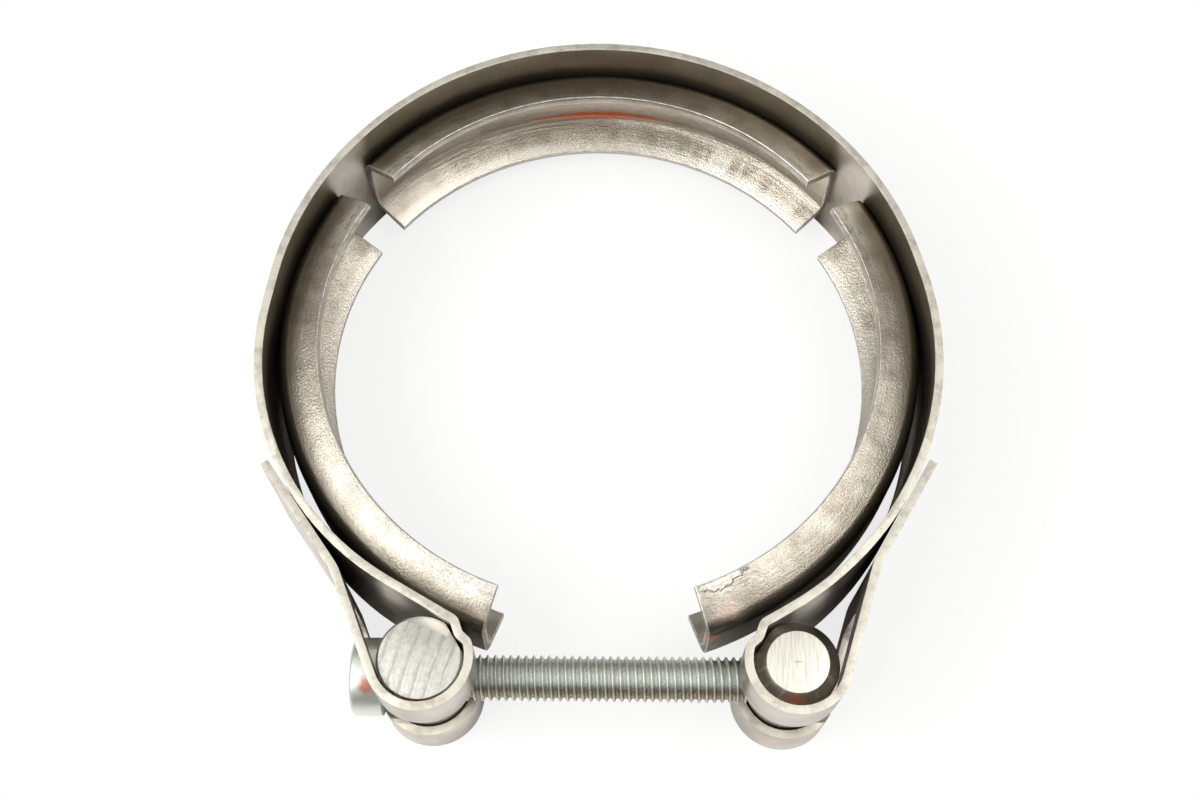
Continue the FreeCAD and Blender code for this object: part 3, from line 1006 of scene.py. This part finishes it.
@dataclass
class Strap:
    """The looped strap."""

    edge_rounding: float = 0.14 * MM
    sharp_angle: float = 40.0
    ring_reach: tuple[float, float] = (44.0 * MM, 48.6 * MM)
    face: RolledStrip = RolledStrip("strap_rolled_face")
    edge: ShearedEdge = ShearedEdge()
    inside: RolledStrip = RolledStrip("strap_rolled_inside", shaded_inside=True)

    def build(self, nodes: Solids) -> None:
        """Copy the strap, round its edges and finish its faces, cut edges and inside.

        Args:
            nodes: the solids by name.
        """
        strap = finished_copy(nodes["band_strap"], "strap_with_loops")
        for finish in (self.face, self.edge, self.inside):
            strap.data.materials.append(finish.material())
        self._assign(strap, 1, lambda face: abs(face.normal.z) > 0.5)
        self._assign(strap, 2, self._inside)
        bevelled(strap, self.edge_rounding, segments=3, angle=self.sharp_angle, slot=1)
        smooth(strap)
        dress(strap, "band", "band_strap")

    def _assign(self, strap: bpy.types.Object, slot: int, wanted: Callable[[Any], bool]) -> None:
        """Give the faces that a test picks the finish in a slot.

        Args:
            strap: the strap.
            slot: number of its material slot.
            wanted: takes a face and says whether it is one of them.
        """
        select_parts(strap, "FACE", wanted)
        strap.active_material_index = slot
        bpy.ops.object.material_slot_assign()
        bpy.ops.object.mode_set(mode="OBJECT")

    def _inside(self, face: Any) -> bool:
        """Whether a face is part of the ring's inside.

        Args:
            face: a face of the strap.

        Returns:
            True on the ring's inside.
        """
        outward = Vector((face.center.x, face.center.y, 0.0))
        low, high = self.ring_reach
        return low < outward.length < high and face.normal.dot(outward.normalized()) < -0.8


@dataclass
class Segments:
    """The three V segments inside the strap."""

    edge_rounding: float = 0.12 * MM
    sharp_angle: float = 40.0
    sheets: dict[str, FormedSheet] = field(
        default_factory=lambda: {
            "v_segment_top": FormedSheet(
                "segment_top_sheet",
                90.0,
                (
                    # Painted reflected light on the inside of the top segment's web.
                    StainAndLight((0.0, 43.8, 0.0), (27.0, 1.0, 3.6), ROSY_REFLECTION, 0.85),
                    StainAndLight((0.0, 43.3, -3.6), (15.0, 1.1, 1.1), EMBER, 0.95),
                    StainAndLight((0.0, 41.5, 6.0), (15.0, 3.5, 2.5), ROSE, 0.22),
                    StainAndLight((38.0, 42.6, -2.5), (1.2, 1.5, 2.2), RUST, 0.8),
                ),
                base=(0.43, 0.39, 0.325),
            ),
            "v_segment_left": FormedSheet(
                "segment_left_sheet",
                200.0,
                (StainAndLight((38.0, 43.2, 3.2), (1.6, 1.6, 2.0), ROSE, 0.7),),
            ),
            "v_segment_right": FormedSheet(
                "segment_right_sheet",
                -20.0,
                (
                    StainAndLight((-37.9, 44.6, 2.5), (1.4, 1.2, 2.0), EMBER, 0.85),
                    StainAndLight((-35.0, 42.6, 5.2), (3.5, 1.8, 2.0), ROSE, 0.3),
                ),
                peeled=(-35.0, 39.2, 7.2),
            ),
        }
    )

    def build(self, nodes: Solids) -> None:
        """Copy each segment, round its edges and finish it.

        Args:
            nodes: the solids by name.
        """
        for node, sheet in self.sheets.items():
            segment = finished_copy(nodes[node], node + "_formed")
            segment.data.materials.append(sheet.material())
            segment.data.materials.append(WornAndLitEdge(node + "_worn_lit_edge").material())
            bevelled(segment, self.edge_rounding, segments=3, angle=self.sharp_angle, slot=1)
            smooth(segment)
            dress(segment, "band", node)


@dataclass
class Trunnions:
    """The plain and the threaded trunnion."""

    sawn_rounding: float = 0.05 * MM
    turned_rounding: float = 0.06 * MM
    sharp_angle: float = 25.0

    def build(self, nodes: Solids) -> None:
        """Copy both trunnions and finish them.

        Args:
            nodes: the solids by name.
        """
        plain = finished_copy(nodes["plain_trunnion"], "sawn_trunnion")
        plain.data.materials.append(SawnBar().material())
        bevelled(plain, self.sawn_rounding, segments=2, angle=self.sharp_angle)
        smooth(plain)
        dress(plain, "seat_trunnion", "plain_trunnion")
        threaded = finished_copy(nodes["threaded_trunnion"], "turned_trunnion")
        threaded.data.materials.append(TurnedBar().material())
        bevelled(threaded, self.turned_rounding, segments=2, angle=self.sharp_angle)
        smooth(threaded)
        dress(threaded, "nut_trunnion", "threaded_trunnion")


@dataclass
class Screw:
    """The M6 screw: a low round head with a hexagon socket, and a cut thread."""

    axis_y: float = -46.95 * MM
    head_radius: float = 5.0 * MM
    head_height: float = 4.0 * MM
    rim_rounding: float = 0.6 * MM
    seat_rounding: float = 0.15 * MM
    socket_flats: float = 4.0 * MM
    socket_depth: float = 2.2 * MM
    crest_radius: float = 2.98 * MM
    root_radius: float = 2.5 * MM
    half_root: float = 0.36 * MM
    half_crest: float = 0.04 * MM
    crest_cut: float = 0.028 * MM
    sunk: float = 0.06 * MM
    overlap: float = 0.2 * MM
    pitch: float = 1.0 * MM
    lead_in: float = 0.5 * MM
    run_out: float = 1.4 * MM
    tip_bevel: float = 0.3 * MM
    steps: int = 40
    smooth_angle: float = 38.0

    def build(self) -> None:
        """Model the head, the core and the thread, and join them."""
        low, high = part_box("clamp_bolt")
        start, end = low.x, high.x
        seat = start + self.head_height
        head = self._head(start, seat)
        core = self._core(seat, end)
        thread = self._thread(seat, end)
        deselect()
        for piece in (core, thread, head):
            piece.select_set(True)
        bpy.context.view_layer.objects.active = head
        bpy.ops.object.join()
        head.name = "socket_screw"
        head.data.materials.append(ZincPlate().material())
        settle(head)
        smooth(head, self.smooth_angle)
        dress(head, "screw", "clamp_bolt")

    def _along_x(self, radius: float, start: float, end: float, sides: int) -> bpy.types.Object:
        """A round bar along the screw's axis.

        Args:
            radius: its radius.
            start: where it starts along X.
            end: where it ends along X.
            sides: its number of sides.

        Returns:
            The bar, with its place in its mesh.
        """
        deselect()
        bpy.ops.mesh.primitive_cylinder_add(
            vertices=sides,
            radius=radius,
            depth=end - start,
            location=((start + end) / 2, self.axis_y, 0.0),
            rotation=(0.0, math.pi / 2, 0.0),
        )
        return settle(bpy.context.object)

    def _bevel_end(self, bar: bpy.types.Object, side: int, offset: float, segments: int) -> None:
        """Bevel the rim of one end of a bar.

        Args:
            bar: the bar.
            side: -1 for its low end along X, 1 for its high end.
            offset: width of the bevel.
            segments: faces across it.
        """
        select_parts(bar, "FACE", lambda face: face.normal.x * side > 0.9)
        bpy.ops.mesh.bevel(offset=offset, segments=segments, affect="EDGES")
        bpy.ops.object.mode_set(mode="OBJECT")

    def _head(self, start: float, seat: float) -> bpy.types.Object:
        """The head with its rounded rim and its socket.

        Args:
            start: X of the head's top.
            seat: X of its bearing face.

        Returns:
            The head.
        """
        head = self._along_x(self.head_radius, start, seat, sides=96)
        self._bevel_end(head, -1, self.rim_rounding, segments=5)
        self._bevel_end(head, 1, self.seat_rounding, segments=2)
        corner = self.socket_flats / math.sqrt(3)
        depth = self.socket_depth
        cutter = self._along_x(corner, start - depth, start + depth, sides=6)
        take(head)
        hollow = head.modifiers.new("socket", "BOOLEAN")
        hollow.operation = "DIFFERENCE"
        hollow.solver = "EXACT"
        hollow.object = cutter
        bpy.ops.object.modifier_apply(modifier=hollow.name)
        bpy.data.objects.remove(cutter)
        return head

    def _core(self, seat: float, end: float) -> bpy.types.Object:
        """The bar that the thread stands on, with a chamfered tip.

        Args:
            seat: X of the head's bearing face.
            end: X of the tip.

        Returns:
            The core.
        """
        core = self._along_x(self.root_radius, seat - self.overlap, end, sides=48)
        self._bevel_end(core, 1, self.tip_bevel, segments=1)
        return core

    def _section(self) -> bpy.types.Object:
        """The thread's section: a plane set on edge, wide at its root and narrow at its crest.

        Returns:
            The section.
        """
        root = self.root_radius - self.sunk
        depth = self.crest_radius - root
        deselect()
        bpy.ops.mesh.primitive_plane_add(
            size=depth, location=(0.0, 0.0, root + depth / 2), rotation=(math.pi / 2, 0.0, 0.0)
        )
        section = settle(bpy.context.object)
        for level, half in ((root, self.half_root), (self.crest_radius, self.half_crest)):
            select_parts(section, "VERT", lambda point: abs(point.co.z - level) < depth / 4)
            bpy.ops.transform.resize(
                value=(2 * half / depth, 1.0, 1.0), center_override=(0.0, 0.0, level)
            )
            if half == self.half_crest:
                bpy.ops.mesh.bevel(offset=self.crest_cut, affect="VERTICES")
            bpy.ops.object.mode_set(mode="OBJECT")
        return section

    def _thread(self, seat: float, end: float) -> bpy.types.Object:
        """The helical ridge, swept from its section by a screw modifier.

        Args:
            seat: X of the head's bearing face.
            end: X of the tip.

        Returns:
            The thread.
        """
        thread = self._section()
        sweep = thread.modifiers.new("helix", "SCREW")
        sweep.axis = "X"
        sweep.screw_offset = self.pitch
        sweep.iterations = int((end - seat - self.run_out) / self.pitch)
        sweep.angle = math.tau
        sweep.steps = self.steps
        sweep.render_steps = self.steps
        sweep.use_merge_vertices = False
        bpy.ops.object.modifier_apply(modifier=sweep.name)
        bpy.ops.object.mode_set(mode="EDIT")
        bpy.ops.mesh.select_all(action="SELECT")
        bpy.ops.mesh.normals_make_consistent(inside=False)
        bpy.ops.object.mode_set(mode="OBJECT")
        thread.location = (seat + self.lead_in, self.axis_y, 0.0)
        return settle(thread)


# ------------------------------------------------------------------------- studio


@dataclass(frozen=True)
class Softbox:
    """A soft rectangular lamp: where it stands, its width and height, and its watts."""

    name: str
    place: Point
    size: tuple[float, float]
    power: float


@dataclass
class Studio:
    """Floor, lamps, world and camera."""

    softboxes: tuple[Softbox, ...] = (
        Softbox("left_softbox", (-0.34, -0.14, 0.36), (0.38, 0.34), 2.35),
        Softbox("right_softbox", (0.23, -0.03, 0.45), (0.28, 0.22), 0.82),
    )
    warm: Colour = (1.0, 0.99, 0.97)
    white: Colour = (1.0, 1.0, 1.0)
    brighten: tuple[float, float] = (0.2, 0.85)
    overhead: tuple[float, float] = (0.9, 0.985)
    sky_level: float = 0.8
    room_level: float = 0.03
    overhead_dimming: float = 0.8
    floor_level: float = -11.0 * MM
    floor_size: float = 3.0
    sensor_width: float = 36.0
    focal_length: float = 44.73
    nearest: float = 0.01
    camera_place: Point = (0.14 * MM, -93.1 * MM, 191.7 * MM)
    tilt: float = 24.13
    roll: float = 0.66
    yaw: float = -0.07

    def build(self) -> None:
        """Set the stage."""
        self._floor()
        self._world()
        for softbox in self.softboxes:
            self._lamp(softbox)
        self._camera()

    def _floor(self) -> None:
        """White paper under everything."""
        deselect()
        centre = (0.0, 0.0, self.floor_level)
        bpy.ops.mesh.primitive_plane_add(size=self.floor_size, location=centre)
        floor = settle(bpy.context.object)
        floor.name = "paper_floor"
        floor.data.materials.append(PaperFloor().material())

    def _world(self) -> None:
        """A room that is dark near the horizon and straight overhead, and white to the camera."""
        world = bpy.data.worlds.new("studio")
        bpy.context.scene.world = world
        graph = Graph(world)
        toward = graph.vector("NORMALIZE", graph.node("ShaderNodeTexCoord", output="Object"))
        _, _, up = graph.parts(toward)
        level = up.ramp(*self.brighten) * self.sky_level + self.room_level
        level = level * (1.0 - up.ramp(*self.overhead) * self.overhead_dimming)
        seen = graph.node("ShaderNodeLightPath", output="Is Camera Ray")
        strength = level * (1.0 - seen) + seen
        sky = {"Color": graph.mix(seen, self.warm, self.white), "Strength": strength}
        graph.close(graph.node("ShaderNodeBackground", None, sky))

    def _lamp(self, softbox: Softbox) -> None:
        """Aim a lamp at the clamp.

        Args:
            softbox: what it is and where it stands.
        """
        data = bpy.data.lights.new(softbox.name, "AREA")
        data.shape = "RECTANGLE"
        data.size, data.size_y = softbox.size
        data.energy = softbox.power
        lamp = bpy.data.objects.new(softbox.name, data)
        bpy.context.scene.collection.objects.link(lamp)
        lamp.location = softbox.place
        lamp.rotation_euler = (-Vector(softbox.place)).to_track_quat("-Z", "Y").to_euler()

    def _camera(self) -> None:
        """Camera above the latch, looking down and over the ring."""
        data = bpy.data.cameras.new("camera")
        data.sensor_width = self.sensor_width
        data.lens = self.focal_length
        data.clip_start = self.nearest
        camera = bpy.data.objects.new("camera", data)
        bpy.context.scene.collection.objects.link(camera)
        turn = (
            Matrix.Rotation(math.radians(self.yaw), 4, "Z")
            @ Matrix.Rotation(math.radians(self.tilt), 4, "X")
            @ Matrix.Rotation(math.radians(self.roll), 4, "Z")
        )
        camera.matrix_world = Matrix.Translation(self.camera_place) @ turn
        bpy.context.scene.camera = camera
        bpy.context.scene.view_settings.view_transform = "Standard"


def main() -> None:
    """Build the clamp on its solids, then the studio round it."""
    logging.basicConfig(level=logging.INFO, format="%(name)s: %(message)s")
    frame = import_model()
    nodes = frame["nodes"]
    Strap().build(nodes)
    Segments().build(nodes)
    Trunnions().build(nodes)
    Screw().build()
    Studio().build()


if __name__ == "__main__":
    main()
